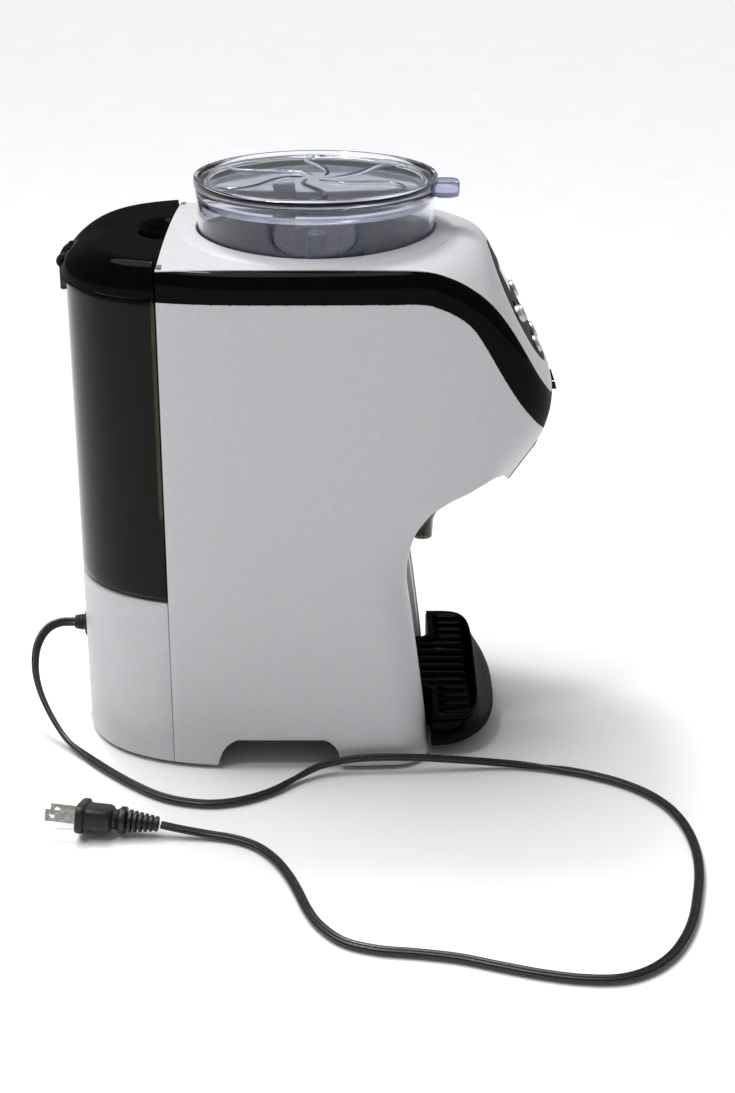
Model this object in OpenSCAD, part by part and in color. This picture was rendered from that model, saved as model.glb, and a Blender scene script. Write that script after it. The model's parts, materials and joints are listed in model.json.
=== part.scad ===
// Countertop milk powder mixing and dispensing machine, millimetres.
// +Z up, front faces -Y, origin on the table under the middle of the body.

/* [Body] */
// overall width of the moulded body
body_w = 176; // [160:1:200]
// distance from the origin to the foremost point of the head
head_y = 142.5; // [130:0.5:150]
// distance from the origin to the flat back of the rear shell
rear_y = 137; // [125:0.5:140]
// height of the deck above the table
deck_z = 300.5; // [280:0.5:320]
// centre of the oval plan outline along Y
plan_y = 20; // [0:1:40]
// thickness of the moulded skins
skin = 2.6; // [2:0.1:4]
// joint plane between the side panels and the rear shell
seam_y = 80; // [70:1:95]
// height of the black trim band's lower edge along the sides
band_z = 279.3; // [270:0.1:285]
// underside of the moulded foot
foot_z = 3; // [2:0.5:6]

/* [Powder hopper] */
// hopper axis along Y
hop_y = -4; // [-12:1:6]
// outside radius of the powder container
hop_r = 66.8; // [55:0.1:70]
// underside of the powder container
hop_z = 238; // [225:1:250]
// radius at which powder leaves the container
drop_r = 46; // [38:1:52]

/* [Water tank] */
// underside of the water tank
tank_z = 104.4; // [90:0.1:120]
// rim of the water tank
tank_top = 279.7; // [260:0.1:285]
// wall thickness of the water tank
tank_wall = 2.2; // [1.6:0.1:3]
// hinge axis of the tank lid, along Y
hinge_y = 138.4; // [134:0.1:140]
// hinge axis of the tank lid, height
hinge_z = 284.2; // [282:0.1:288]

/* [Mixing head] */
// axis of the mixing funnel along Y
fun_y = -66; // [-75:1:-55]
// radius of the bottle recess in the column
bay_r = 40; // [34:1:45]
// top radius of the funnel
fun_r = 36; // [28:1:37]
// lowest point of the spout
spout_z = 112; // [100:1:120]
// underside of the funnel drawer
drawer_z = 164; // [155:1:170]

/* [Control panel] */
// half width of the oval control panel
pan_a = 41; // [30:1:48]
// half length of the oval control panel along the slope
pan_b = 40; // [30:1:46]
// radius of the keys
key_r = 5.2; // [4:0.1:7]
// slope of the front below horizontal, degrees
slope = 63; // [50:1:70]

/* [Drip tray] */
// height of the slatted grid's top face
grid_z = 28.5; // [20:0.5:35]
// half width of the tray
tray_a = 76; // [60:1:80]
// front of the tray skirt
tray_y = 110.5; // [100:0.5:115]

/* [Drive] */
// gear module
gmod = 1.5; // [1:0.1:2]
// teeth on the large gear
teeth_big = 40; // [30:2:44]
// teeth on the motor pinion
teeth_small = 12; // [10:1:16]

/* [Mains cord] */
// width of the flat twin cord
cord_w = 5.5; // [4:0.1:7]
// thickness of the flat twin cord
cord_t = 3.2; // [2.5:0.1:4]
// height at which the cord leaves the back
cord_z = 55; // [40:1:70]

/* [Hidden] */

white = [0.93, 0.94, 0.95];
black = [0.03, 0.03, 0.04];
clear = [0.85, 0.88, 0.92, 0.4];
smoke = [0.16, 0.14, 0.10, 0.8];
steel = [0.72, 0.72, 0.74];
grey = [0.35, 0.36, 0.38];
navy = [0.08, 0.12, 0.32];

hw = body_w / 2;
fb = head_y + plan_y;
rb = rear_y - plan_y;
gr1 = gmod * teeth_big / 2;
gr2 = gmod * teeth_small / 2;
gear_z = 222;
gear_t = 6;
motor_y = hop_y + gr1 + gr2;

// oval plan outline, inset by i, with its rear half reaching b from the oval's centre
function sup(t, a, b, n) = [a * sign(cos(t)) * pow(abs(cos(t)), 2 / n),
    b * sign(sin(t)) * pow(abs(sin(t)), 2 / n)];
function plan_pts(i, b) = [for (t = [0 : 4 : 356]) let(q = t < 180
    ? sup(t, hw - i, b - i, 2.7) : sup(t, hw - i, fb - i, 3.4)) [q[0], q[1] + plan_y]];
module plan(i = 0, b = rb) polygon(plan_pts(i, b));

// a shape drawn in Y and Z, extruded along X about the middle
module yz(w) rotate([90, 0, 90]) linear_extrude(w, center = true) children();
// a shape drawn in X and Z, extruded along Y between two planes
module xz(y0, y1) translate([0, y1, 0]) rotate([90, 0, 0]) linear_extrude(y1 - y0) children();
module box(x0, x1, y0, y1, z0, z1) translate([x0, y0, z0]) cube([x1 - x0, y1 - y0, z1 - z0]);
module tube(r0, r1, z0, z1) translate([0, 0, z0]) difference() {
    cylinder(r = r1, h = z1 - z0, $fn = 64);
    translate([0, 0, -1]) cylinder(r = r0, h = z1 - z0 + 2, $fn = 64);
}
module rod(r, z0, z1) translate([0, 0, z0]) cylinder(r = r, h = z1 - z0, $fn = 64);
function rev(p) = [for (i = [len(p) - 1 : -1 : 0]) p[i]];
function unit(v) = v / norm(v);
// side faces and end caps of a skin of n + 1 rings of m points
function skin_faces(n, m) = concat([[for (j = [0 : m - 1]) j]],
    [for (i = [0 : n - 1], j = [0 : m - 1]) each [
        [i * m + j, (i + 1) * m + j, (i + 1) * m + (j + 1) % m],
        [i * m + j, (i + 1) * m + (j + 1) % m, i * m + (j + 1) % m]]],
    [[for (j = [m - 1 : -1 : 0]) n * m + j]]);
// a path through p with each corner eased over a length of b
function eased(p, b) = concat([p[0]], [for (i = [1 : len(p) - 2], t = [0 : 0.25 : 1])
    let(u = p[i] + b * unit(p[i - 1] - p[i]), v = p[i] + b * unit(p[i + 1] - p[i]))
    (1 - t) * (1 - t) * u + 2 * t * (1 - t) * p[i] + t * t * v], [p[len(p) - 1]]);
// round hose of radius r swept along a path; up is never parallel to the path
module hose(p, r, b = 7, up = [0.37, 0.21, 0.9]) {
    q = eased(p, b);
    n = len(q) - 1;
    pts = [for (i = [0 : n]) let(d = unit(q[min(i + 1, n)] - q[max(i - 1, 0)]),
        s = unit(cross(d, up)), w = cross(s, d)) each [for (k = [0 : 11])
        q[i] + r * (s * cos(30 * k) + w * sin(30 * k))]];
    polyhedron(pts, [for (f = skin_faces(n, 12)) rev(f)], convexity = 10);
}

// side view of the top and front slope, from the seam to under the tip
slope_top = [-137.5, 222.5];
top_line = [[seam_y - 0.3, deck_z], [-88, deck_z], [-93.5, 299.2], [-98, 296.4], [-101.6, 292.2],
    slope_top, [-140.6, 213.5], [-142.2, 204]];
band_low = [[seam_y - 0.3, band_z], [-61, band_z], [-71.7, 276.2], [-82.6, 270.6],
    [-90.3, 263.9], [-97.5, 252], [-105.8, 237.2], [-114.2, 223], [-121.3, 213.7],
    [-130.2, 204], [-136, 198], [-150, 190]];
// front edge of the column, then the underside of the head up to the chin
col_line = [[-69, foot_z], [-66.9, 25], [-62.6, 60], [-57.6, 95], [-55.6, 108], [-55.2, 118],
    [-55.7, 129], [-58.7, 143.5], [-62.2, 151.2], [-68.3, 159], [-80.5, 166.5], [-95.8, 173.3],
    [-106, 177.5], [-112.5, 181]];
function norm_at(p, i) = let(a = p[max(i - 1, 0)], b = p[min(i + 1, len(p) - 1)],
    d = (b - a) / norm(b - a)) [-d[1], d[0]];
function shift(p, s) = [for (i = [0 : len(p) - 1]) p[i] + s * norm_at(p, i)];

module side_shape() polygon(concat([[seam_y - 0.3, foot_z], [54, foot_z], [51, 12], [47, 18],
    [42, 20], [-8, 20], [-13, 17.5], [-16.5, 12], [-17.5, foot_z]], col_line,
    [[-121.5, 190], [-130, 192.5], [-136, 188], [-141, 190]], rev(shift(band_low, 0.2))));

// ---- skins -------------------------------------------------------------
module base_plate() color(grey) {
    difference() {
        union() {
            translate([0, 0, 18]) linear_extrude(3) intersection() {
                plan(3);
                translate([-100, -53]) square([200, 300]);
            }
            for (x = [-64, 64], y = [-34, 92]) translate([x, y, 0]) rod(8, foot_z, 18);
            for (x = [-50, 50], y = [0, 60]) translate([x, y, 0]) rod(3.5, 21, 27);
        }
        translate([0, fun_y - 2, 10]) cylinder(r = bay_r + 3.4, h = 20, $fn = 64);
        for (x = [-64, 64], y = [-34, 92]) translate([x, y, 0]) rod(1.6, foot_z - 1, 19);
    }
}

module side_panel() difference() {
    intersection() {
        translate([0, 0, foot_z - 1]) linear_extrude(300) difference() {
            plan();
            plan(skin);
        }
        yz(200) side_shape();
        box(0.15, 100, -150, 90, 0, 310);
    }
    box(-39.2, 39.2, -150, -100, 140, drawer_z + 21);
}
module left_side_panel() color(white) mirror([1, 0, 0]) side_panel();
module right_side_panel() color(white) side_panel();

module top_cover() color(white) difference() {
    intersection() {
        linear_extrude(310) plan(3.5);
        yz(200) polygon(concat(top_line, rev(shift(top_line, 2.6))));
    }
    translate([0, hop_y, 280]) cylinder(r = hop_r + 0.8, h = 40, $fn = 64);
    panel_frame() translate([0, 0, -6]) linear_extrude(12) oval(0.3);
}

module trim_band() color(black) difference() {
    intersection() {
        linear_extrude(310) difference() {
            plan();
            plan(3.2);
        }
        yz(200) polygon(concat([for (p = top_line) p], [[-150, 204]], rev(band_low)));
    }
}

module front_panel() color(white) difference() {
    union() {
        intersection() {
            yz(200) polygon(concat(col_line, rev(shift(col_line, -2.4))));
            linear_extrude(310) plan(3);
        }
        intersection() {
            translate([0, fun_y - 2, 0]) rod(bay_r + 2.4, foot_z, drawer_z - 1);
            yz(200) polygon(concat([[20, foot_z]], shift(col_line, -1), [[20, 175]]));
        }
    }
    translate([0, fun_y - 2, 0]) rod(bay_r, 0, drawer_z);
    box(-44.4, 44.4, -130, -24, drawer_z - 0.6, 190);
}

module rear_shell() color(white) difference() {
    union() {
        intersection() {
            translate([0, 0, foot_z]) linear_extrude(101 - foot_z) difference() {
                plan();
                plan(skin);
            }
            box(-100, 100, seam_y + 0.2, 150, 0, 120);
        }
        intersection() {
            translate([0, 0, 101]) linear_extrude(2.9) plan();
            box(-100, 100, seam_y + 0.2, 150, 90, 120);
        }
    }
    translate([0, 104, 0]) rod(12.2, 90, 110);
    box(21, 43, 125, 150, 46.5, 63.5);
    translate([0, 150, cord_z]) rotate([90, 0, 0]) cylinder(r = 6, h = 30, $fn = 48);
}

module rear_bulkhead() color(grey) difference() {
    intersection() {
        translate([0, 0, 21.3]) linear_extrude(276) plan(3.6);
        box(-100, 100, 76.6, 79.4, 0, 299);
    }
    translate([-20, 90, 60]) rotate([90, 0, 0]) cylinder(r = 6, h = 30, $fn = 32);
}

module hopper_well() color(grey) translate([0, hop_y, 0]) difference() {
    rod(71.2, 232.6, 297.4);
    rod(68.6, 235.2, 300);
    rod(4.3, 230, 240);
    translate([0, -drop_r, 0]) rod(10.4, 230, 240);
}

module hopper_collar() color(white) translate([0, hop_y, 0])
    rotate_extrude($fn = 96) polygon([[67.9, deck_z + 0.1], [78.5, deck_z + 0.1], [77.5, deck_z + 1],
        [70, deck_z + 1.8], [67.9, deck_z + 1.8]]);

module rubber_feet() color(black) for (x = [-64, 64], y = [-34, 92]) translate([x, y, 0])
    difference() {
        rod(7.5, 0, foot_z - 0.1);
        rod(3.6, -1, 1.6);
        rod(1.9, -1, foot_z + 1);
    }

module foot_screws() color(steel) for (x = [-64, 64], y = [-34, 92]) translate([x, y, 0]) {
    rod(3.2, 0.3, 1.5);
    rod(1.5, 1.5, 15);
}

// ---- water tank --------------------------------------------------------
module water_tank() color(smoke) {
    difference() {
        intersection() {
            translate([0, 0, tank_z]) linear_extrude(tank_top - tank_z) plan();
            box(-100, 100, seam_y + 0.6, 150, 90, 290);
        }
        intersection() {
            translate([0, 0, tank_z + 2.4]) linear_extrude(300) plan(tank_wall);
            box(-100, 100, seam_y + 0.6 + tank_wall, 150, 90, 310);
        }
        translate([0, 104, 0]) rod(5, 100, 110);
    }
    // valve cage over the outlet
    for (a = [30, 150, 270]) translate([0, 104, 0]) rotate([0, 0, a]) translate([11, 0, 0])
        rod(1.3, 106.8, 124);
    translate([0, 104, 0]) tube(2.3, 12.6, 124, 126);
    // guide rod of the float
    translate([46, 102, 0]) rod(2, 106.8, 214);
    // hinge lugs
    difference() {
        for (x = [-13, 8]) {
            box(x, x + 5, 134.2, 141.2, 270, hinge_z);
            translate([x, hinge_y, hinge_z]) rotate([0, 90, 0]) cylinder(r = 4, h = 5, $fn = 48);
        }
        translate([-20, hinge_y, hinge_z]) rotate([0, 90, 0]) cylinder(r = 1.5, h = 40, $fn = 48);
        box(-20, 20, 120, 134.4, 260, 290);
    }
}

module lid_side(i) polygon(concat([[seam_y + 0.6 + i, 280.2 - 2 * sign(i)],
    [seam_y + 0.6 + i, deck_z - 0.3 - i]], [for (a = [90 : -7.5 : 0])
    [107 + (32.5 - i) * cos(a), 280.2 + (20 - i) * sin(a)]],
    [[139.5 - i, 280.2 - 2 * sign(i)]]));
module lid_front(i) polygon(concat([[-hw, 270]], [for (a = [180 : -10 : 90])
    [-hw + 11 + (11 - i) * cos(a), 289.2 + (11 - i) * sin(a)]], [for (a = [90 : -10 : 0])
    [hw - 11 + (11 - i) * cos(a), 289.2 + (11 - i) * sin(a)]], [[hw, 270]]));
module lid_form(i) intersection() {
    translate([0, 0, 277]) linear_extrude(30) plan(i, 139.5 - plan_y);
    yz(200) lid_side(i);
    xz(60, 150) lid_front(i);
}
module tank_lid() color(black) difference() {
    union() {
        difference() {
            lid_form(0);
            difference() {
                lid_form(2.2);
                translate([0, 65, 0]) rod(28.4, 285.6, 310);
            }
            box(-13.5, 13.5, 132, 150, 270, 289);
        }
        box(-7.6, 7.6, 122, 132.8, hinge_z - 1, 291.6);
        box(-7.6, 7.6, 130, hinge_y, hinge_z - 1, hinge_z + 3);
        translate([-7.6, hinge_y, hinge_z]) rotate([0, 90, 0])
            cylinder(r = 4, h = 15.2, $fn = 48);
    }
    translate([0, 65, 0]) rod(26, 288, 310);
    translate([-20, hinge_y, hinge_z]) rotate([0, 90, 0]) cylinder(r = 1.6, h = 40, $fn = 48);
}

module tank_hinge_pin() color(steel) translate([-13, hinge_y, hinge_z]) rotate([0, 90, 0])
    cylinder(r = 1.5, h = 26, $fn = 48);

module tank_valve() color(black) translate([0, 104, 0]) {
    rod(4.6, 104.8, 107.2);
    rod(8, 107.2, 109.2);
    rod(2.2, 109.2, 129);
}

// helical spring of wire radius w about the valve stem
function coil(n, w, r, z0, z1, turns) = [for (i = [0 : n], j = [0 : 5])
    let(a = 360 * turns * i / n, q = r + w * cos(60 * j))
    [q * cos(a), q * sin(a), z0 + (z1 - z0) * i / n + w * sin(60 * j)]];
module tank_valve_spring() color(steel) translate([0, 104, 0])
    polyhedron(coil(72, 0.5, 5, 109.8, 123.4, 6), skin_faces(72, 6), convexity = 10);

module tank_dock() color(black) translate([0, 104, 0]) difference() {
    union() {
        rod(14, 98.6, 100.8);
        rod(11.8, 100.8, 103.9);
        rod(3.4, 84, 98.6);
    }
    rod(9.4, 101.4, 110);
    rod(2, 80, 110);
}

module tank_float() color([0.8, 0.8, 0.78]) translate([46, 102, 0]) tube(2.1, 9, 112, 124);

// ---- powder hopper -----------------------------------------------------
module powder_container() color(clear) translate([0, hop_y, 0]) difference() {
    union() {
        rod(hop_r, hop_z, 325);
        rod(67.6, 320.5, 325);
    }
    rod(hop_r - 2.2, hop_z + 2.5, 330);
    rod(8.1, 230, 245);
    translate([0, -drop_r, 0]) rod(9.8, 230, 245);
}

module container_lid() color(clear) translate([0, hop_y, 0]) {
    difference() {
        union() {
            tube(65.4, 68.5, 325.3, 331);
            rod(65.4, 326.4, 328.4);
            tube(61.8, 64.2, 317, 326.4);
            intersection() {
                union() {
                    box(-10, 10, -73, -69, 317.5, 327.5);
                    translate([0, -71, 0]) rod(10, 317.5, 327.5);
                }
                box(-20, 20, -90, -68.3, 300, 340);
            }
            box(-10, 10, -70, -66, 325.4, 327.5);
        }
        tube(67.4, 68.4, 310, 325.3);
    }
    // curved ribs under the lid
    for (k = [0 : 5]) intersection() {
        rotate([0, 0, 60 * k]) translate([31, 0, 0]) tube(29.6, 31.4, 323.6, 326.4);
        rotate([0, 0, 60 * k]) box(-4, 62, 0, 40, 320, 330);
        rod(61.4, 320, 330);
    }
}

module outlet_block() color([0.2, 0.21, 0.23]) translate([0, hop_y - 42, 0]) difference() {
    translate([0, 0, 249]) linear_extrude(19) rounded(15, 19, 7);
    translate([0, 0, 247]) linear_extrude(8) rounded(11, 15, 4);
}
module rounded(a, b, r) {
    square([2 * a, 2 * (b - r)], center = true);
    square([2 * (a - r), 2 * b], center = true);
    for (x = [-a + r, a - r], y = [-b + r, b - r]) translate([x, y]) circle(r, $fn = 32);
}

module stirrer() color(navy) translate([0, hop_y, 0]) {
    rod(6, 248.8, 300);
    for (a = [20, 200]) rotate([0, 0, a]) {
        box(4, 61, -3, 3, 273, 278);
        box(58.6, 61, -7, 7, 273, 312);
        box(28, 30.4, -5, 5, 278, 296);
    }
}

module dosing_wheel() color([0.85, 0.86, 0.88]) translate([0, hop_y, 0]) difference() {
    union() {
        rod(62, 241, 248.6);
        rod(8, 236.4, 241);
    }
    for (a = [0 : 36 : 324]) rotate([0, 0, a]) translate([0, -drop_r, 0]) rod(6.5, 230, 260);
    box(-7.2, 7.2, -1.9, 1.9, 230, 240.8);
}

module drive_shaft() color(steel) translate([0, hop_y, 0]) {
    rod(4, 212, 236);
    box(-6, 6, -1.5, 1.5, 235.6, 240.2);
}

// spur gear outline: tips at p + m, roots at p - 1.25 m, one tooth centred on angle a0
module gear(n, a0, bore, t) {
    p = gmod * n / 2;
    linear_extrude(t) difference() {
        rotate(a0) polygon([for (k = [0 : n - 1], s = [0 : 3])
            let(h = 90 / n, r = (s == 0 || s == 3) ? p - 1.25 * gmod : p + 0.9 * gmod,
                a = 360 * k / n + [-1.3, -0.5, 0.5, 1.3][s] * h) [r * cos(a), r * sin(a)]]);
        circle(bore, $fn = 48);
    }
}
module drive_gear() color([0.9, 0.88, 0.8]) translate([0, hop_y, gear_z])
    gear(teeth_big, 90, 4, gear_t);

module motor_pinion() color(steel) translate([0, motor_y, gear_z]) {
    gear(teeth_small, -90 + 180 / teeth_small, 1, gear_t);
    translate([0, 0, -10]) cylinder(r = 2, h = gear_t + 10, $fn = 48);
}

module motor() color(grey) translate([0, motor_y, 0]) difference() {
    union() {
        rod(18, 160, 192);
        rod(20, 192, 214);
        rod(4, 155, 160);
    }
    rod(2.1, 211, 216);
}

module motor_bracket() color(steel) difference() {
    union() {
        box(-46, 46, -34, 62, 214.2, 216.4);
        for (p = [[-40, -28], [40, -28], [-36, 52], [36, 52]]) translate([p[0], p[1], 0])
            rod(3.5, 216.4, 232.5);
        translate([0, hop_y, 0]) rod(8, 210, 214.2);
    }
    translate([0, hop_y, 0]) rod(4.08, 200, 230);
    translate([0, motor_y, 0]) rod(2.6, 200, 230);
}

module powder_chute() color(clear) translate([0, hop_y - drop_r, 0]) {
    tube(10.4, 12.2, drawer_z + 28, 232.4);
}

// ---- mixing head -------------------------------------------------------
module funnel_drawer() color(grey) difference() {
    union() {
        box(-38, 38, -109, -28, drawer_z, drawer_z + 20);
        box(-40.6, 40.6, -109, -28, drawer_z + 10, drawer_z + 12);
    }
    box(-36, 36, -107, -30, drawer_z + 2, drawer_z + 30);
    translate([0, fun_y, 0]) rod(26.5, drawer_z - 10, drawer_z + 10);
}

module drawer_front() color(smoke) yz(76) translate([0, drawer_z]) polygon([[-125.6, 20], [-123.6, 17],
    [-114.6, 3.4], [-110.4, -0.6], [-109.2, -0.6], [-109.2, 3], [-111, 3.4], [-112.6, 5.4],
    [-121.6, 19], [-122, 20]]);

module funnel() color(clear) translate([0, fun_y, 0]) rotate_extrude($fn = 64)
    polygon([[4.6, spout_z], [6, spout_z], [6.6, 124], [25, drawer_z], [25.8, drawer_z + 2.2],
        [fun_r, drawer_z + 20], [fun_r, drawer_z + 22.4], [fun_r - 1.6, drawer_z + 22.4],
        [fun_r - 1.8, drawer_z + 20.6], [24, drawer_z + 2.2], [5.2, 125]]);

module drawer_rails() color(grey) for (s = [-1, 1]) difference() {
    box(min(s * 38.6, s * 44), max(s * 38.6, s * 44), -110, -26, drawer_z + 3, drawer_z + 19);
    box(min(s * 38, s * 41.2), max(s * 38, s * 41.2), -112, -20, drawer_z + 9.6, drawer_z + 12.4);
}

module water_nozzle() color(steel) {
    hose([[26, -60, 191], [26, -60, 204], [32, -44, 209]], 3.2, 6, [1, 0.2, 0]);
}

// ---- inside the body ---------------------------------------------------
module water_pump() color(grey) {
    translate([-46, 8, 40]) rotate([-90, 0, 0]) cylinder(r = 14, h = 42, $fn = 48);
    box(-58, -34, 12, 44, 27.2, 34);
    translate([-46, 0, 40]) rotate([-90, 0, 0]) cylinder(r = 11, h = 8, $fn = 48);
}
module water_heater() color(steel) {
    box(38, 62, -8, 46, 27.2, 84);
    translate([50, 19, 84]) cylinder(r = 8, h = 6, $fn = 48);
}
module hose_tank_to_pump() color(clear)
    hose([[0, 104, 83.8], [0, 104, 60], [-20, 96, 60], [-20, 66, 60], [-46, 64, 40],
        [-46, 50.3, 40]], 3.4, 7, [0.9, 0.1, 0.3]);
module hose_pump_to_heater() color(clear)
    hose([[-46, -0.4, 40], [-46, -12, 40], [-10, -18, 46], [50, -22, 46], [50, -8.4, 46]], 3.2);
module hose_heater_to_nozzle() color(clear)
    hose([[50, 19, 90.4], [50, 19, 110], [52, 0, 150], [50, -24, 205], [33.2, -41.6, 209.4]],
        3.2, 7, [0.9, 0.1, 0.2]);

module main_board() color([0.1, 0.35, 0.2]) {
    box(-52, 52, 72.6, 74.2, 100, 190);
    box(-40, -18, 58, 72.6, 120, 150);
    box(-6, 12, 62, 72.6, 108, 140);
    box(22, 44, 60, 72.6, 140, 176);
}

// ---- control panel on the slope; local z is the outward normal ------------
module panel_frame() translate([0, -120.2, 256.5]) rotate([slope, 0, 0]) children();
module oval(g) polygon([for (t = [0 : 5 : 355]) [(pan_a + g) * cos(t), (pan_b + g) * sin(t)]]);
key_at = [[-27, 2], [-14, -22], [14, -22], [27, 2], [0, -6]];
module control_panel() color([0.2, 0.21, 0.22]) panel_frame() difference() {
    translate([0, 0, -2.2]) linear_extrude(2) oval(0);
    for (k = key_at) translate([k[0], k[1], -5]) cylinder(r = key_r + 0.3, h = 8, $fn = 48);
    translate([-17.2, 9.8, -5]) cube([34.4, 16.4, 10]);
}
module display_window() color(black) panel_frame() translate([-17, 10, -2.2]) cube([34, 16, 2]);
module control_board() color([0.1, 0.35, 0.2]) panel_frame() {
    translate([-33, -30, -9.4]) cube([66, 60, 1.6]);
    for (k = key_at) translate([k[0] - 3, k[1] - 3, -7.8]) cube([6, 6, 2.8]);
}
module key(i) color([0.75, 0.76, 0.78]) panel_frame() translate([key_at[i][0], key_at[i][1], 0]) {
    translate([0, 0, -2.4]) cylinder(r = key_r, h = 2.4, $fn = 48);
    translate([0, 0, -3.6]) cylinder(r = 2, h = 1.2, $fn = 32);
}
module key_power() key(0);
module key_volume() key(1);
module key_warmth() key(2);
module key_formula() key(3);
module key_start() key(4);

// ---- drip tray ---------------------------------------------------------
module tray_plan(i, f, n = 5) {
    translate([0, fun_y - 2]) circle(bay_r - 3 - i, $fn = 96);
    intersection() {
        translate([0, -70.8 - i]) polygon([for (t = [180 : 5 : 360])
            sup(t, tray_a - i, f - 70.8 - 2 * i, n)]);
        translate([-100, -200]) square([200, 129.2 - i]);
    }
}
module drip_tray() color(black) difference() {
    union() {
        translate([0, 0, 3.6]) linear_extrude(12.4) tray_plan(0, tray_y, 2.5);
        translate([0, 0, 16]) linear_extrude(10) tray_plan(0, 99);
    }
    translate([0, 0, 6.2]) linear_extrude(30) tray_plan(2.4, 99, 3.2);
}
module drip_grid() color(black) {
    difference() {
        translate([0, 0, 26.3]) linear_extrude(grid_z - 26.3) tray_plan(0.4, 99);
        translate([0, 0, 25]) linear_extrude(6) intersection() {
            tray_plan(6.5, 99);
            for (k = [-6 : 6]) translate([10.5 * k - 2.5, -120]) square([5, 120]);
        }
    }
    translate([0, 0, 22]) linear_extrude(4.3) difference() {
        tray_plan(2.8, 99, 3.2);
        tray_plan(4.4, 99, 3.2);
    }
}

// ---- rear fittings and cord ----------------------------------------------
module switch_frame() color(black) difference() {
    box(21.3, 42.7, 124, 138, 46.8, 63.2);
    box(24.3, 39.7, 120, 140, 49.4, 60.6);
    translate([22.3, 133.5, 55]) rotate([0, 90, 0]) cylinder(r = 1.25, h = 19.4, $fn = 32);
}
module power_switch() color(black) translate([32, 133.5, 55]) rotate([0, 90, 0]) {
    linear_extrude(14.6, center = true) polygon([[-4.9, 3.6], [0, 4.4], [4.9, 3.6], [4.4, -2],
        [-4.4, -2]]);
    cylinder(r = 1.2, h = 18.8, center = true, $fn = 32);
}
module cord_gland() color(black) translate([0, rear_y + 0.2, cord_z]) rotate([-90, 0, 0])
    rotate_extrude($fn = 48) polygon([[0, -24], [5, -24], [5.6, -20], [5.6, 0], [8.5, 0], [8.5, 2.2],
        [5, 3], [4.2, 9], [0, 9]]);

// cord path: out of the back, round the machine's left side, past the foot, loop, plug
cord_route = [[0, 146.3, 55], [0, 149.5, 55], [-1, 155.5, 55], [-4.5, 161.5, 53.5], [-10, 166, 49.5],
    [-17, 168.5, 43], [-26, 168, 34], [-36, 164, 24.5], [-48, 156, 14], [-60, 146, 5.5],
    [-74, 133.5, 2.9], [-92, 118, 2.8], [-110, 100, 2.8], [-122.5, 84, 2.8], [-129, 68, 2.8],
    [-130.5, 52, 2.8], [-126, 36, 2.8], [-116.5, 21, 2.8], [-104, 8, 4.2], [-95.5, -6, 7.4],
    [-92.6, -22, 9.8], [-91.8, -38, 10.8], [-91.2, -54, 10.6], [-90, -70, 9.4], [-88.5, -87, 7.4],
    [-87, -104, 5.2], [-87, -122, 3.4], [-90, -140, 2.8], [-95.5, -157, 2.8], [-104, -174, 2.8],
    [-116, -189, 2.8], [-131, -200, 2.8], [-148, -206.5, 2.8], [-166, -209.5, 2.8],
    [-186, -210, 2.8], [-206, -208, 2.8], [-226, -204, 2.8], [-246, -199, 2.8],
    [-264, -192, 2.8], [-280, -182.5, 2.8], [-292, -170, 2.8], [-298.5, -155, 2.8],
    [-298.5, -137, 2.8], [-294.5, -118, 2.8], [-288, -98, 2.8], [-281, -78, 2.8],
    [-277, -58, 2.8], [-274, -38, 2.8], [-267, -21, 2.8], [-253, -9, 2.8], [-238, -2, 2.8],
    [-222, 3, 2.8], [-205, 9, 2.8], [-189, 17, 2.8], [-176, 27.5, 2.8], [-168.5, 40, 2.8],
    [-165, 54, 3.4], [-163.5, 68, 5.4], [-162.2, 80, 7.6]];
// ends of the plug: where the cord enters and the direction of the blades
plug_p = [-162, 81, 7.9];
plug_d = [0.11, 0.993, 0.06];
function cr_dir(i) = unit(cord_route[min(i + 1, len(cord_route) - 1)] - cord_route[max(i - 1, 0)]);
function oval_pt(k) = [cord_w / 2 * cos(36 * k), cord_t / 2 * sin(36 * k)];
function ring(i) = let(d = cr_dir(i), s = unit(cross(d, [0, 0, 1])), u = cross(s, d),
    r = (i < 10 || (i > 17 && i < 27)) ? 60 : 0) [for (k = [0 : 9]) let(q = oval_pt(k))
    cord_route[i] + s * (q[0] * cos(r) - q[1] * sin(r)) + u * (q[0] * sin(r) + q[1] * cos(r))];
module power_cord() color(black)
    polyhedron([for (i = [0 : len(cord_route) - 1]) each ring(i)],
        [for (f = skin_faces(len(cord_route) - 1, 10)) rev(f)], convexity = 12);

// plug parts are drawn along +Z from the cord entry, then laid down
module lay_plug() translate(plug_p) rotate([0, acos(plug_d[2]), atan2(plug_d[1], plug_d[0])])
    rotate([0, 0, 106]) children();
module plug_body() color(black) lay_plug() {
    difference() {
        union() {
            cylinder(r = 3.4, h = 18, $fn = 32);
            for (k = [0 : 5]) translate([0, 0, 0.4 + 2.9 * k])
                cylinder(r = 4.2 + 0.42 * k, h = 1.7, $fn = 32);
            translate([0, 0, 18]) cylinder(r = 7.6, h = 4, $fn = 48);
            translate([0, 0, 22]) cylinder(r = 5.6, h = 4, $fn = 48);
            translate([0, 0, 26]) linear_extrude(14) rounded(10.6, 6.8, 5);
            translate([0, 0, 40]) linear_extrude(4.4) rounded(12.8, 8.4, 6);
        }
    }
}
module plug_blades() color(steel) lay_plug() for (s = [-1, 1]) translate([6.35 * s, 0, 44.6])
    difference() {
        translate([-0.75, -3.15, 0]) cube([1.5, 6.3, 17.4]);
        translate([-3, 0, 13.6]) rotate([0, 90, 0]) cylinder(r = 1.6, h = 6, $fn = 32);
    }

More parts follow.
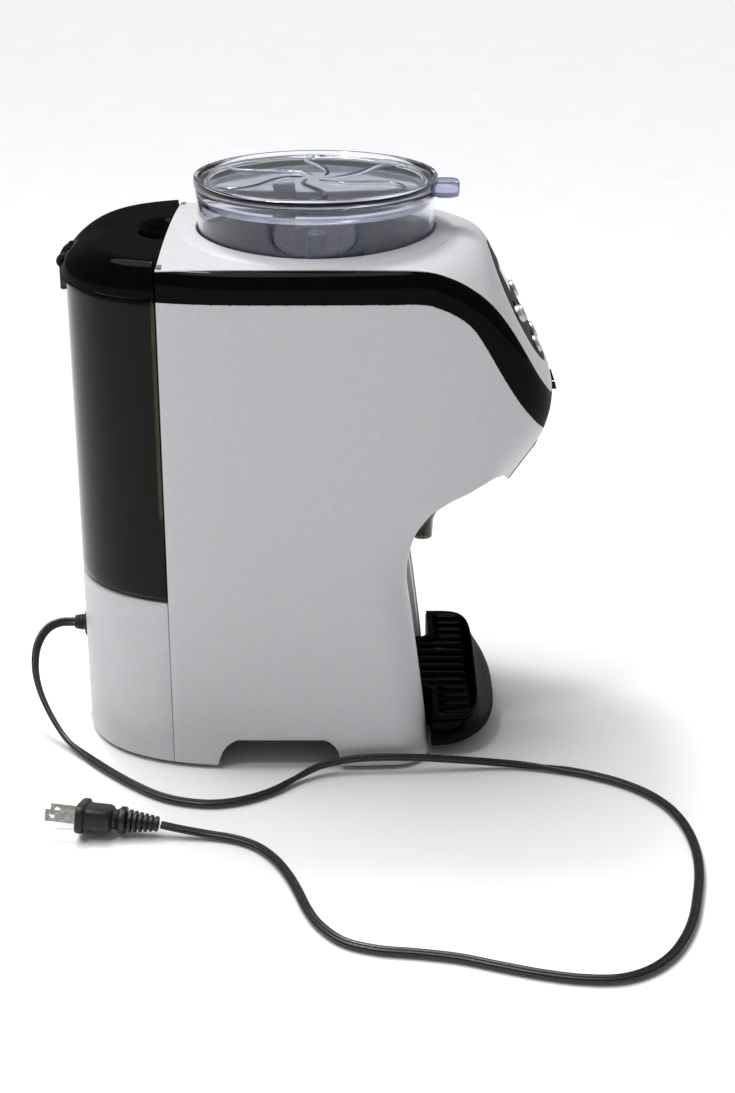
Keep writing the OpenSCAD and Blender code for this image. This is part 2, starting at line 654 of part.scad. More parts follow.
base_plate();
left_side_panel();
right_side_panel();
top_cover();
trim_band();
front_panel();
rear_shell();
rear_bulkhead();
hopper_well();
hopper_collar();
rubber_feet();
foot_screws();
water_tank();
tank_lid();
tank_hinge_pin();
tank_valve();
tank_valve_spring();
tank_dock();
tank_float();
powder_container();
container_lid();
outlet_block();
stirrer();
dosing_wheel();
drive_shaft();
drive_gear();
motor_pinion();
motor();
motor_bracket();
powder_chute();
funnel_drawer();
drawer_front();
funnel();
drawer_rails();
water_nozzle();
water_pump();
water_heater();
hose_tank_to_pump();
hose_pump_to_heater();
hose_heater_to_nozzle();
main_board();
control_board();
control_panel();
display_window();
key_power();
key_volume();
key_warmth();
key_formula();
key_start();
drip_tray();
drip_grid();
power_switch();
switch_frame();
cord_gland();
power_cord();
plug_body();
plug_blades();
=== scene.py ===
import json
from math import radians

import bpy
import numpy as np
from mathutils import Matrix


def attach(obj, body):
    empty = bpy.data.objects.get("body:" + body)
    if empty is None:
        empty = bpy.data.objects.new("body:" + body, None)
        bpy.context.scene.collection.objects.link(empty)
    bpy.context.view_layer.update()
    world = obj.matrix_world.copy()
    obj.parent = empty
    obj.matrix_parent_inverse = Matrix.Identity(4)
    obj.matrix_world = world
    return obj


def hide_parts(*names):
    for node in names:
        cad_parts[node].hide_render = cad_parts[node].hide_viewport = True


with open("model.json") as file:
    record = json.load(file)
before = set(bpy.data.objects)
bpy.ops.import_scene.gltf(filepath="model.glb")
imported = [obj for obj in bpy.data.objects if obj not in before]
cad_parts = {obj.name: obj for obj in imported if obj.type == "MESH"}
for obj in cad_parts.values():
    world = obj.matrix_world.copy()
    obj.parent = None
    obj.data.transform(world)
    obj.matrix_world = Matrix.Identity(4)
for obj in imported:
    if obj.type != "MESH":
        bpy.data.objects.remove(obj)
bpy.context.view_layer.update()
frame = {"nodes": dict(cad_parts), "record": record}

# ---- Room ---------------------------------------------------------------
# A pale matt floor and soft light from above and behind, as in a small
# product studio, and the camera at the machine's left-hand side.
camera = bpy.data.objects.new("camera", bpy.data.cameras.new("camera"))
camera.data.lens, camera.data.sensor_width = 64.85, 36
camera.location = (-1.098, -0.033, 0.562)
camera.rotation_euler = (radians(90 - 22.6), 0, radians(-90))
bpy.context.scene.collection.objects.link(camera)
bpy.context.scene.camera = camera
bpy.context.scene.view_settings.view_transform = "Standard"


def tint(code):
    """Linear red, green, blue and alpha of an sRGB hex colour such as E8E9EC."""
    c = np.array([int(code[i:i + 2], 16) for i in (0, 2, 4)]) / 255
    c = np.where(c < 0.04045, c / 12.92, ((c + 0.055) / 1.055) ** 2.4)
    return (*c.tolist(), 1)


def node(mat, kind, links=(), **settings):
    """Adds one node. Settings are sockets by name, or properties; a link is
    (socket of this node, node it comes from, socket it leaves by)."""
    n = mat.node_tree.nodes.new("ShaderNode" + kind)
    for key, value in settings.items():
        name = key.replace("_", " ")
        if name in n.inputs:
            n.inputs[name].default_value = value
        else:
            setattr(n, key, value)
    for into, other, out in links:
        mat.node_tree.links.new(other.outputs[out], n.inputs[into])
    return n


def finish(name, light, dark, rough, grain=4.0, bump=0.02, spread=0.25, detail=3.0, **shader):
    """A moulded or machined surface. Cloudy noise with features of size grain, in mm,
    moves the colour between two near shades and the roughness by a share, spread;
    a second noise four times finer lifts the surface by bump, in mm."""
    mat = bpy.data.materials.new(name)
    mat.use_nodes = True
    mat.node_tree.nodes.clear()
    where = node(mat, "TexCoord")
    cloud = node(mat, "TexNoise", [("Vector", where, "Object")], Scale=1000 / grain, Detail=detail)
    fine = node(mat, "TexNoise", [("Vector", where, "Object")], Scale=4000 / grain, Detail=2.0)
    shade = node(mat, "ValToRGB", [("Fac", cloud, "Fac")])
    shade.color_ramp.elements[0].position, shade.color_ramp.elements[1].position = 0.3, 0.7
    shade.color_ramp.elements[0].color = tint(dark)
    shade.color_ramp.elements[1].color = tint(light)
    gloss = node(mat, "MapRange", [("Value", cloud, "Fac")], From_Min=0.3, From_Max=0.7,
                 To_Min=rough * (1 - spread), To_Max=rough * (1 + spread))
    lift = node(mat, "Bump", [("Height", fine, "Fac")], Strength=0.6, Distance=bump / 1000)
    body = node(mat, "BsdfPrincipled", [("Base Color", shade, "Color"),
                ("Roughness", gloss, "Result"), ("Normal", lift, "Normal")], **shader)
    node(mat, "OutputMaterial", [("Surface", body, "BSDF")])
    return mat


# Painted board: an even matt white with the faintest mottling.
FLOOR = finish("painted_board", "F8F8F8", "F6F6F7", 0.8, 60, 0.0, 0.1, Specular_IOR_Level=0.1)
plate = bpy.data.meshes.new("floor")
plate.from_pydata([(-6, -6, 0), (6, -6, 0), (6, 6, 0), (-6, 6, 0)], [], [(0, 1, 2, 3)])
plate.materials.append(FLOOR)
floor = bpy.data.objects.new("floor", plate)
bpy.context.scene.collection.objects.link(floor)
world = bpy.data.worlds.new("studio")
bpy.context.scene.world = world
world.use_nodes = True
world.node_tree.nodes["Background"].inputs["Color"].default_value = tint("F6F8FC")
world.node_tree.nodes["Background"].inputs["Strength"].default_value = 0.3
sky = bpy.data.objects.new("ceiling_light", bpy.data.lights.new("ceiling_light", "SUN"))
sky.rotation_euler, sky.data.energy, sky.data.angle = (radians(-16), radians(10), 0), 2.35, radians(50)
bpy.context.scene.collection.objects.link(sky)
for title, place, turn, size, power in [
        ("softbox", (0.35, 0.25, 1.25), (0, 16, 0), 0.2, 5),
        ("strip", (-0.7, 0.5, 1.3), (-22, -28, 0), 0.14, 3)]:
    lamp = bpy.data.objects.new(title, bpy.data.lights.new(title, "AREA"))
    lamp.location, lamp.rotation_euler = place, [radians(a) for a in turn]
    lamp.data.size, lamp.data.energy = size, power
    bpy.context.scene.collection.objects.link(lamp)


# ---- Mains cord and plug ------------------------------------------------
# A flat twin cord of two insulated cores side by side in black PVC, extruded
# in one piece, with a moulded two-pin plug at its free end.
def catmull(points, n):
    """A smooth curve through points: n values per span, each a cubic whose
    slope at a point is half the step between its neighbours."""
    p = np.array(points, float)
    p = np.vstack([2 * p[0] - p[1], p, 2 * p[-1] - p[-2]])
    t = (np.arange(n) / n)[None, :, None]
    a, b, c, d = p[:-3, None], p[1:-2, None], p[2:-1, None], p[3:, None]
    q = 0.5 * (2 * b + (c - a) * t + (2 * a - 5 * b + 4 * c - d) * t ** 2
               + (3 * b - a - 3 * c + d) * t ** 3)
    return np.vstack([q.reshape(-1, p.shape[1]), p[-2:-1]])


def build(name, grids, mat, body, inside=None, wall=0, soft=0, angle=35, keep=None,
          stands_for=(), weld=1e-6):
    """Mesh of one or more grids of points, in mm, rows by columns by XYZ. Cells are
    quads, equal points are welded, and each grid is turned to face away from inside.
    keep is a mask of cells per grid. wall is a skin thickness inwards, soft a bevel."""
    points, faces, base = [], [], 0
    for k, g in enumerate(grids):
        r, c = g.shape[:2]
        i = np.arange(r * c).reshape(r, c)
        f = np.stack([i[:-1, :-1], i[:-1, 1:], i[1:, 1:], i[1:, :-1]], -1)
        if keep is not None and keep[k] is not None:
            f = f[keep[k]]
        f = f.reshape(-1, 4)
        v = g.reshape(-1, 3)
        if inside is not None:
            q = v[f]
            turn = np.cross(q[:, 2] - q[:, 0], q[:, 3] - q[:, 1])
            if (turn * (q.mean(1) - np.array(inside))).sum() < 0:
                f = f[:, ::-1]
        points.append(v)
        faces.append(f + base)
        base += len(v)
    v, f = np.vstack(points) / 1000, np.vstack(faces)
    _, first, same = np.unique(np.round(v / max(weld, 1e-6)).astype(np.int64), axis=0,
                               return_index=True, return_inverse=True)
    v, f = v[first], same.reshape(-1)[f]
    keep_edge = f != np.roll(f, 1, axis=1)
    cells = [row[k].tolist() for row, k in zip(f, keep_edge) if k.sum() > 2]
    mesh = bpy.data.meshes.new(name)
    mesh.from_pydata(v.tolist(), [], cells)
    mesh.polygons.foreach_set("use_smooth", np.ones(len(mesh.polygons), bool))
    mesh.set_sharp_from_angle(angle=radians(angle))
    mesh.materials.append(mat)
    piece = bpy.data.objects.new(name, mesh)
    bpy.context.scene.collection.objects.link(piece)
    if wall:
        skin = piece.modifiers.new("wall", "SOLIDIFY")
        skin.thickness, skin.offset, skin.use_even_offset = wall / 1000, -1, True
    if soft:
        edge = piece.modifiers.new("soft", "BEVEL")
        edge.width, edge.segments, edge.angle_limit = soft / 1000, 2, radians(angle)
        edge.limit_method, edge.harden_normals = "ANGLE", False
    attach(piece, body)
    if stands_for:
        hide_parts(*stands_for)
    return piece


def turned(profile, about=(0, 0), n=96):
    """Profile of (radius, height) points carried round a vertical axis: rows follow
    the profile, columns go round."""
    t = np.linspace(0, 2 * np.pi, n + 1)
    p = np.array(profile, float)
    return np.stack([about[0] + np.outer(p[:, 0], np.cos(t)),
                     about[1] + np.outer(p[:, 0], np.sin(t)),
                     np.outer(p[:, 1], np.ones(n + 1))], -1)


# Extruded PVC: satin black with a faint drawn grain.
PVC = finish("satin_black_pvc", "121214", "0A0A0B", 0.33, 1.6, 0.02, 0.3)
route = np.array([
    [0, 146.3, 55], [0, 149.5, 55], [-1, 155.5, 55], [-4.5, 161.5, 53.5], [-10, 166, 49.5],
    [-17, 168.5, 43], [-26, 168, 34], [-36, 164, 24.5], [-48, 156, 14], [-60, 146, 5.5],
    [-74, 133.5, 2.9], [-92, 118, 2.8], [-110, 100, 2.8], [-122.5, 84, 2.8], [-129, 68, 2.8],
    [-130.5, 52, 2.8], [-126, 36, 2.8], [-116.5, 21, 2.8], [-104, 8, 4.2], [-95.5, -6, 7.4],
    [-92.6, -22, 9.8], [-91.8, -38, 10.8], [-91.2, -54, 10.6], [-90, -70, 9.4], [-88.5, -87, 7.4],
    [-87, -104, 5.2], [-87, -122, 3.4], [-90, -140, 2.8], [-95.5, -157, 2.8], [-104, -174, 2.8],
    [-116, -189, 2.8], [-131, -200, 2.8], [-148, -206.5, 2.8], [-166, -209.5, 2.8],
    [-186, -210, 2.8], [-206, -208, 2.8], [-226, -204, 2.8], [-246, -199, 2.8],
    [-264, -192, 2.8], [-280, -182.5, 2.8], [-292, -170, 2.8], [-298.5, -155, 2.8],
    [-298.5, -137, 2.8], [-294.5, -118, 2.8], [-288, -98, 2.8], [-281, -78, 2.8],
    [-277, -58, 2.8], [-274, -38, 2.8], [-267, -21, 2.8], [-253, -9, 2.8], [-238, -2, 2.8],
    [-222, 3, 2.8], [-205, 9, 2.8], [-189, 17, 2.8], [-176, 27.5, 2.8], [-168.5, 40, 2.8],
    [-165, 54, 3.4], [-163.5, 68, 5.4], [-162.2, 80, 7.6]])
line = catmull(route, 6)
go = np.gradient(line, axis=0)
go /= np.linalg.norm(go, axis=1, keepdims=True)
side = np.cross(go, [0, 0, 1])
side /= np.linalg.norm(side, axis=1, keepdims=True)
up = np.cross(side, go)
at = np.arange(len(line)) / 6
lean = np.interp(at, [0, 9, 10.5, 17, 18.5, 26, 27.5, 58], [60, 60, 0, 0, 60, 60, 0, 0])
turn = np.radians(lean)[:, None]
around = np.linspace(0, 2 * np.pi, 25)
# two round cores of 1.6 mm radius, 2.3 mm apart, joined by a thin web
half = 2.75 * np.cos(around)
tall = 1.6 * np.sin(around) * (0.62 + 0.38 * np.clip(np.abs(np.cos(around)) / 0.42, 0, 1))
tall = np.where(np.abs(np.cos(around)) > 0.42,
                np.sign(np.sin(around)) * np.sqrt(np.clip(1.6 ** 2 - (np.abs(half) - 1.15) ** 2, 0, 9)), tall)
flat = side[:, None] * (half * np.cos(turn) - tall * np.sin(turn))[..., None]
rise = up[:, None] * (half * np.sin(turn) + tall * np.cos(turn))[..., None]
tube = line[:, None] + flat + rise
ends = [np.repeat(line[:1, None], 25, 1)[0][None], tube, np.repeat(line[-1:, None], 25, 1)[0][None]]
cord = build("mains_cord", [np.vstack(ends)], PVC, "body", stands_for=["power_cord"],
             angle=60, weld=1e-7)

plug_p = np.array([-162, 81, 7.9])
along = np.array([0.11, 0.993, 0.06])
along /= np.linalg.norm(along)
polar, twist = np.arccos(along[2]), np.arctan2(along[1], along[0])


def spin(axis, a):
    """Matrix of a turn by a about the Y (1) or Z (2) axis."""
    c, s = np.cos(a), np.sin(a)
    return np.array([[c, 0, s], [0, 1, 0], [-s, 0, c]] if axis == 1 else
                    [[c, -s, 0], [s, c, 0], [0, 0, 1]])


lay = spin(2, twist) @ spin(1, polar) @ spin(2, radians(106))


def loft(stations, n=48, square=2.0):
    """Closed form of rings (half width, half depth, height, squareness): a ring is
    the superellipse |x/a|^k + |y/b|^k = 1 at its height; both ends are closed."""
    t = np.linspace(0, 2 * np.pi, n + 1)
    c, s = np.cos(t), np.sin(t)
    rows = []
    for st in stations:
        a, b, h = st[:3]
        k = st[3] if len(st) > 3 else square
        rows.append(np.stack([a * np.sign(c) * np.abs(c) ** (2 / k),
                              b * np.sign(s) * np.abs(s) ** (2 / k), np.full_like(t, h)], -1))
    return np.stack(rows)


# The plug: six grip ribs of the strain relief, a collar, and the flat body.
ribs = [(0, 0, 0)] + [(r, r, z) for k in range(6) for r, z in (
    (3.5 + 0.1 * k, 0.2 + 2.9 * k), (4.2 + 0.42 * k, 0.6 + 2.9 * k),
    (4.2 + 0.42 * k, 2.0 + 2.9 * k), (3.5 + 0.1 * k, 2.5 + 2.9 * k))]
form = ribs + [(4.6, 4.6, 17.9), (7.3, 7.3, 18.3), (7.6, 7.6, 19.2), (7.5, 7.5, 21.2),
               (6.4, 6.2, 22.3), (5.8, 5.6, 23.6), (6.2, 5.6, 25, 2.2), (9.6, 6.3, 26.4, 3),
               (10.6, 6.8, 28.4, 3.6), (10.5, 6.7, 38.2, 4), (10.8, 6.9, 39.6, 4),
               (12.5, 8.2, 40.4, 4), (12.8, 8.4, 41.2, 4), (12.8, 8.4, 43.6, 4),
               (12.3, 7.9, 44.4, 4), (0, 0, 44.4, 4)]
shape = loft(form, 64) @ lay.T + plug_p
# Moulded PVC: a little duller than the cord, with a fine spark-eroded grain.
PLUG = finish("moulded_black_pvc", "17171A", "0E0E10", 0.42, 0.9, 0.03, 0.25)
plug = build("plug_moulding", [shape], PLUG, "body", stands_for=["plug_body"])
# Nickel plate on brass: bright, with rub marks along the blade.
NICKEL = finish("nickel_plate", "C9C6BF", "A9A69E", 0.24, 2.2, 0.01, 0.4, Metallic=1.0)
frame["nodes"]["plug_blades"].data.materials[0] = NICKEL

# The strain relief: a tapered rubber boot held in the rear shell.
boot = turned([(0, -24), (5.4, -24), (5.6, -23), (5.6, 0), (8.1, 0.1), (8.5, 0.6), (8.5, 1.7),
               (7.9, 2.3), (5.5, 2.6), (5.0, 3.4), (4.6, 4.1), (4.9, 4.5), (4.8, 5.4), (4.4, 5.8),
               (4.7, 6.2), (4.5, 7.2), (4.1, 7.6), (4.3, 8.0), (4.1, 8.9), (0, 8.9)], n=48)
boot = np.stack([boot[..., 0], boot[..., 2] + 137.2, 55 - boot[..., 1]], -1)
RUBBER = finish("black_rubber_matt", "1A1A1B", "101011", 0.6, 1.2, 0.04)
build("cord_boot", [boot], RUBBER, "body", stands_for=["cord_gland"],
      inside=(0, 130, 55))


# ---- Side panels --------------------------------------------------------
# Two white ABS mouldings, left and right, that meet under the front of the
# head. Each is a smooth skin on the oval plan, with an arched foot.
def outline(th, inset=0.0, reach=142.5, rear=117.0):
    """Oval plan about (0, 20): |x/88|^n + |y/b|^n = 1 by angle th, with n 3.4 and b
    reach + 20 in front (th above 0), and n 2.7 and b rear behind."""
    c, s = np.cos(th), np.sin(th)
    n = np.where(s >= 0, 3.4, 2.7)
    b = np.where(s >= 0, reach + 20, rear) - inset
    return ((88 - inset) * np.sign(c) * np.abs(c) ** (2 / n),
            20 - np.sign(s) * b * np.abs(s) ** (2 / n))


def angle_of(y, reach=142.5, rear=117.0):
    """The angle on the right half of the oval at which it reaches y."""
    front = y <= 20
    q = np.where(front, (20 - y) / (reach + 20), (y - 20) / rear)
    return np.where(front, 1, -1) * np.arcsin(np.clip(q, 0, 1) ** (np.where(front, 3.4, 2.7) / 2))


def ease(t):
    """Smooth step from 0 to 1: 3t^2 - 2t^3."""
    t = np.clip(t, 0, 1)
    return t * t * (3 - 2 * t)


def set_back(th, z):
    """How far the front of the head lies behind the oval plan at height z: the chin
    runs back under the tip, and only near the front."""
    f = np.interp(z, [140, 161.6, 169, 177, 184, 191, 198, 206, 212, 225],
                  [31, 27.3, 22.2, 16.7, 11.8, 7.6, 4.6, 2.6, 1.4, 0])
    return f * ease((np.sin(th) - 0.5) / 0.42)


def on_plan(th, z):
    """Points of the outer skin at plan angles th and heights z."""
    x, y = outline(th)
    return np.stack([x, y + set_back(th, z), z + 0 * x], -1)


front_edge = catmull([(-69, 3), (-66.9, 25), (-62.6, 60), (-57.6, 95), (-55.6, 108), (-55.2, 118),
                      (-55.7, 129), (-58.7, 143.5), (-62.2, 151.2), (-68.3, 159)], 12)
low_edge = np.array([(0, 159), (20.8, 159), (23.3, 163), (26.2, 166.5), (34.2, 173), (40, 175.2),
                     (45, 176), (52, 175.4), (60, 172.6), (68, 168.2), (73.9, 164.4)])
band_plan = catmull([(79.7, 279.3), (20, 279.3), (-40, 279.3), (-61, 279.1), (-71.7, 276.4),
                     (-82.6, 270.6), (-90.3, 263.6), (-97.5, 252.4), (-105.8, 237.4),
                     (-114.2, 223.2), (-121.3, 213.6), (-128.5, 205.6), (-134, 200), (-138.6, 195.2),
                     (-141.4, 191.6), (-142.5, 190)], 10)


def band_height(th):
    """Height of the trim band's lower edge at plan angle th."""
    return np.interp(-outline(th)[1], -band_plan[:, 0], band_plan[:, 1])


rear_part, arch, fore = np.linspace(79.7, 42, 9), np.linspace(42, -8, 11), -8 - 60.3 * np.sin(
    np.linspace(0, np.pi / 2, 17))
ys = np.concatenate([rear_part[:-1], arch[:-1], fore])
zs = np.concatenate([[3, 5, 8, 12, 15.5, 18, 20], np.linspace(24, 100, 20), np.linspace(104, 159, 15)])
arch_rear = np.interp(zs, [3, 6, 12, 16, 18.6, 20], [54, 53.4, 51, 48.3, 45, 42])
arch_front = np.interp(zs, [3, 6, 12, 16, 18.6, 20], [-17.5, -17.4, -16.2, -14, -11, -8])
tip_y = np.interp(zs, front_edge[:, 1], front_edge[:, 0])
rows = []
for z, yr, yf, yt in zip(zs, arch_rear, arch_front, tip_y):
    y = np.concatenate([79.7 + (yr - 79.7) * (79.7 - rear_part[:-1]) / 37.7,
                        yr + (yf - yr) * (42 - arch[:-1]) / 50, yf + (yt - yf) * (fore + 8) / -60.3])
    p = on_plan(angle_of(y), z)
    near = np.clip((y - yt) / 19, 0, 1)
    p[:, 0] -= 18 * (1 - np.sqrt(1 - (1 - near) ** 2)) * ease((159 - z) / 55)
    rows.append(p)
lower = np.stack(rows)
low_keep = np.ones((len(zs) - 1, len(ys) - 1), bool)
low_keep[:6, 8:18] = False
ths = np.concatenate([angle_of(ys), np.radians(np.linspace(20.8, 73.9, 30))[1:],
                      np.radians(73.9 + (90 - 73.9) * np.linspace(0, 1, 12) ** 0.9)[1:] - 1e-4])
z0 = np.interp(np.degrees(ths), low_edge[:, 0], low_edge[:, 1], right=164.4)
z1 = band_height(ths) + 0.2
mid = np.minimum(187.0, z1 - 1)
levels = np.concatenate([z0 + (mid - z0) * np.linspace(0, 1, 13)[:-1, None],
                         mid + (z1 - mid) * np.linspace(0, 1, 34)[:, None]])
upper = np.stack([on_plan(ths, z) for z in levels])
up_keep = np.ones((len(levels) - 1, len(ths) - 1), bool)
up_keep[:12, len(ys) - 1 + 29:] = False
# White ABS, spark-eroded mould: a soft satin sheen and a skin like fine orange peel.
WHITE = finish("white_abs_satin", "CBCBCD", "C7C7C9", 0.38, 3.2, 0.008, 0.18)
for s, word in ((1, "right"), (-1, "left")):
    turned_side = np.array([s, 1, 1])
    panel = build(f"{word}_panel", [lower * turned_side, upper * turned_side], WHITE, "body",
                  inside=(0, 20, 150), wall=2.6, soft=0.7, keep=[low_keep, up_keep],
                  stands_for=[f"{word}_side_panel"], weld=1e-5)


# ---- Top cover and black trim band --------------------------------------
# The crowned white cover carries the hopper and runs down the sloping front as
# a tongue. A glossy black band, one U-shaped moulding, wraps its edge.
middle = catmull([(79.7, 300.5), (20, 300.5), (-40, 300.5), (-66, 300.5), (-80, 300.5),
                  (-88, 300.3), (-93.5, 299), (-98, 296.2), (-101.6, 291.9), (-105, 285.6),
                  (-110, 275.9), (-115, 266.2), (-120, 256.5), (-125, 246.8), (-130, 237.1),
                  (-134, 229.3), (-137, 222.8), (-138.6, 218), (-139.5, 213.8), (-139.9, 209.8)], 12)
margin = catmull([(80, 79.7, 296.5), (80, 20, 296.5), (80, -40, 296.5), (79.6, -58, 296.2),
                  (78.6, -69, 294.4), (76.8, -77.5, 291.2), (74.8, -85, 287.2), (73, -91, 283),
                  (71.8, -96, 279), (70.4, -101, 274), (68.3, -106.2, 267.4), (66, -111.5, 259.6),
                  (63.6, -116.6, 251), (60.6, -121.6, 242), (56.6, -126.4, 233),
                  (51.2, -130.8, 225.3), (44, -134.6, 218.9), (33, -137.2, 213.9),
                  (18.5, -139.1, 210.9), (0, -139.9, 209.8)], 12)
margin[:, 0] = np.clip(margin[:, 0], 0.02, 99)
steps = np.arange(len(middle)) / 12


def crown(x, s):
    """Top surface: at station s the middle line bends down to the margin with the
    square of x over the half width."""
    cy, cz = np.interp(s, steps, middle[:, 0]), np.interp(s, steps, middle[:, 1])
    ex, ey, ez = (np.interp(s, steps, margin[:, k]) for k in range(3))
    q = (x / ex) ** 2
    return np.stack([x, cy + (ey - cy) * q, cz + (ez - cz) * q], -1)


def station_at(x, y):
    """The station at which the top surface over x reaches y, by halving."""
    low, high = np.zeros_like(x), np.full_like(x, 16.0)
    for _ in range(30):
        half_way = (low + high) / 2
        over = crown(x, half_way)[..., 1] > y
        low, high = np.where(over, half_way, low), np.where(over, high, half_way)
    return low


def ring(inner, outer, n):
    """Grid in (x, s) from an inner loop to an outer loop, n rows, onto the crown."""
    t = (np.linspace(0, 1, n) ** 1.15)[:, None, None]
    q = inner * (1 - t) + outer * t
    return crown(q[..., 0], q[..., 1])


def width(s):
    return np.interp(s, steps, margin[:, 0])


cut = 4.0
across = np.linspace(-1, 1, 33)
down = np.linspace(0, cut, 33)
loop = np.concatenate([
    np.stack([across * width(0) * 1.012, np.zeros(33)], -1),
    np.stack([width(down) * 1.012, down], -1)[1:],
    np.stack([-across * width(cut) * 1.012, np.full(33, cut)], -1)[1:],
    np.stack([-width(down[::-1]) * 1.012, down[::-1]], -1)[1:]])
world_at = crown(loop[:, 0], loop[:, 1])
bearing = np.arctan2(world_at[:, 1] + 4, world_at[:, 0])
hole_x, hole_y = 67.9 * np.cos(bearing), -4 + 67.9 * np.sin(bearing)
deck = ring(np.stack([hole_x, station_at(hole_x, hole_y)], -1), loop, 20)
slope_s = np.concatenate([np.linspace(cut, 16, 49), np.linspace(16, 19, 20)[1:]])
loop2 = np.concatenate([
    np.stack([across * width(cut) * 1.012, np.full(33, cut)], -1),
    np.stack([width(slope_s) * 1.012, slope_s], -1)[1:],
    np.stack([-width(slope_s[::-1]) * 1.012, slope_s[::-1]], -1)[1:]])
PANEL_A, PANEL_B, PANEL_C = 41.0, 38.5, 3.5
run = np.concatenate([[0], np.cumsum(np.linalg.norm(np.diff(middle, axis=0), axis=1))])
mid_run = np.interp(-120.2, middle[::-1, 0], run[::-1]) - PANEL_C
place = np.interp(loop2[:, 1], steps, run)
bearing = np.arctan2(place - mid_run, loop2[:, 0])


def oval_loop(a, b, t):
    """Oval on the slope: half width a, half length b, from bearings t, as (x, s)."""
    r = 1 / np.sqrt((np.cos(t) / a) ** 2 + (np.sin(t) / b) ** 2)
    return np.stack([r * np.cos(t), np.interp(mid_run + r * np.sin(t), run, steps)], -1)


tongue = ring(oval_loop(PANEL_A + 0.35, PANEL_B + 0.35, bearing), loop2, 16)
build("top_shell", [deck, tongue], WHITE, "body", inside=(0, 0, 200), wall=2.6, soft=0.5,
      stands_for=["top_cover"], weld=1e-5)

s_u = np.concatenate([np.linspace(0, 4, 25), np.linspace(4, 16, 73)[1:], np.linspace(16, 19, 40)[1:]])
edge = crown(width(s_u), s_u)
low_y = np.interp(s_u, np.arange(20), [79.7, 20, -40, -56, -64, -70, -75.5, -80.5, -85.3, -89.8, -94.3,
                                       -98.9, -103.7, -108.8, -114.4, -120.4, -127.3, -133.2, -138.4, -142.5])
th_l = angle_of(low_y)
th_l[-1] = np.pi / 2
foot = on_plan(th_l, band_height(th_l))
far = np.clip((s_u - 3) / 4, 0, 1)
brow_y = edge[:, 1] + 1.0 * far
th_k = angle_of(brow_y - np.interp(s_u, [0, 14, 19], [0, 0.3, 1.6]))
th_k[-1] = np.pi / 2
brow = on_plan(th_k, edge[:, 2] - np.interp(s_u, [0, 3, 8, 19], [1.2, 1.2, 1.6, 2.0]))
brow[-1, 0] = foot[-1, 0] = 0
knee = foot + (brow - foot) * 0.42
t = np.linspace(0, 1, 13)[:, None, None]
arc = knee * (1 - t) ** 2 + 2 * brow * t * (1 - t) + edge * t ** 2
normal = np.cross(np.gradient(edge, axis=0), np.array([1, 0, 0]) * np.ones((len(edge), 1)))
normal = np.cross(np.gradient(edge, axis=0), edge - brow)
normal /= np.linalg.norm(normal, axis=1, keepdims=True)
normal *= np.sign(normal[:, 2:3] + 1e-9)
arc += normal * 0.06 * (t ** 3)
lip = np.stack([edge - normal * 2.6, edge - normal * 0.5 + 0 * edge, edge + normal * 0.05])
inner_way = np.array([0, -20, 240]) - foot
inner_way /= np.linalg.norm(inner_way, axis=1, keepdims=True)
hem = np.stack([foot, foot + inner_way * 0.25 + [0, 0, 0.1], foot + inner_way * 3])
half_band = np.concatenate([hem[::-1], arc, lip[::-1]])
whole = np.concatenate([half_band, (half_band * [-1, 1, 1])[:, ::-1][:, 1:]], 1)
# Piano-black ABS: a deep clear gloss that mirrors the room, with hairline swirls.
PIANO = finish("piano_black_abs", "060607", "030304", 0.07, 6, 0.003, 0.35,
               Specular_IOR_Level=0.0, Coat_Weight=0.12, Coat_Roughness=0.03)
build("trim_moulding", [whole], PIANO, "body", inside=(0, -20, 240), angle=48,
      stands_for=["trim_band"], weld=1e-5)

# The raised collar that guides the container into the deck, one white ring.
collar = turned([(67.9, 299.6), (67.9, 302), (68.4, 302.4), (70, 302.3), (73, 301.8), (76.5, 301.0),
                 (78.2, 300.4), (78.6, 299.6)], (0, -4), 128)
collar[..., 2] -= 4 * (collar[..., 0] / 80) ** 2 * 0.93
build("deck_collar", [collar], WHITE, "body", inside=(0, -4, 290), stands_for=["hopper_collar"])


# ---- Rear shell ---------------------------------------------------------
# The white moulding behind the side panels, up to the ledge that the water
# tank stands on, with a window for the power switch.
xs = np.concatenate([np.linspace(82.4, 43, 15), np.linspace(43, 21, 5)[1:], np.linspace(21, -82.4, 34)[1:]])
th_r = -np.arccos(np.sign(xs) * np.abs(xs / 88) ** 1.35)
zr = np.concatenate([[3], np.linspace(5, 46.5, 12), np.linspace(46.5, 63.5, 5)[1:], np.linspace(66, 100, 12),
                     [101.5, 102.8, 103.6]])
rx, ry = outline(th_r)
rx, ry = rx[None] * np.ones((len(zr), 1)), ry[None] * np.ones((len(zr), 1))
lean_in = np.interp(zr, [3, 101.5, 102.8, 103.6], [0, 0, 0.3, 1.2])[:, None]
ry = np.where(np.abs(rx) > 80, 80.2 + (ry - 79.7) * 1.0, ry) - lean_in * (ry > 100)
rx = rx - np.sign(rx) * lean_in
wall_r = np.stack([rx, ry, zr[:, None] * np.ones_like(rx)], -1)
shelf = np.stack([rx[-1:], ry[-1:], np.full((1, len(xs)), 103.6)], -1)
inner_ring = shelf.copy()
inner_ring[..., 0] *= 0.2
inner_ring[..., 1] = 80.2 + (inner_ring[..., 1] - 80.2) * 0.02
ledge = np.concatenate([shelf + (inner_ring - shelf) * q for q in np.linspace(0, 1, 6)])
r_keep = np.ones((len(zr) - 1, len(xs) - 1), bool)
r_keep[12:16, 14:18] = False
build("rear_moulding", [wall_r, ledge], WHITE, "body", inside=(0, 90, 50), wall=2.4, soft=0.5,
      keep=[r_keep, None], stands_for=["rear_shell"], weld=1e-5)


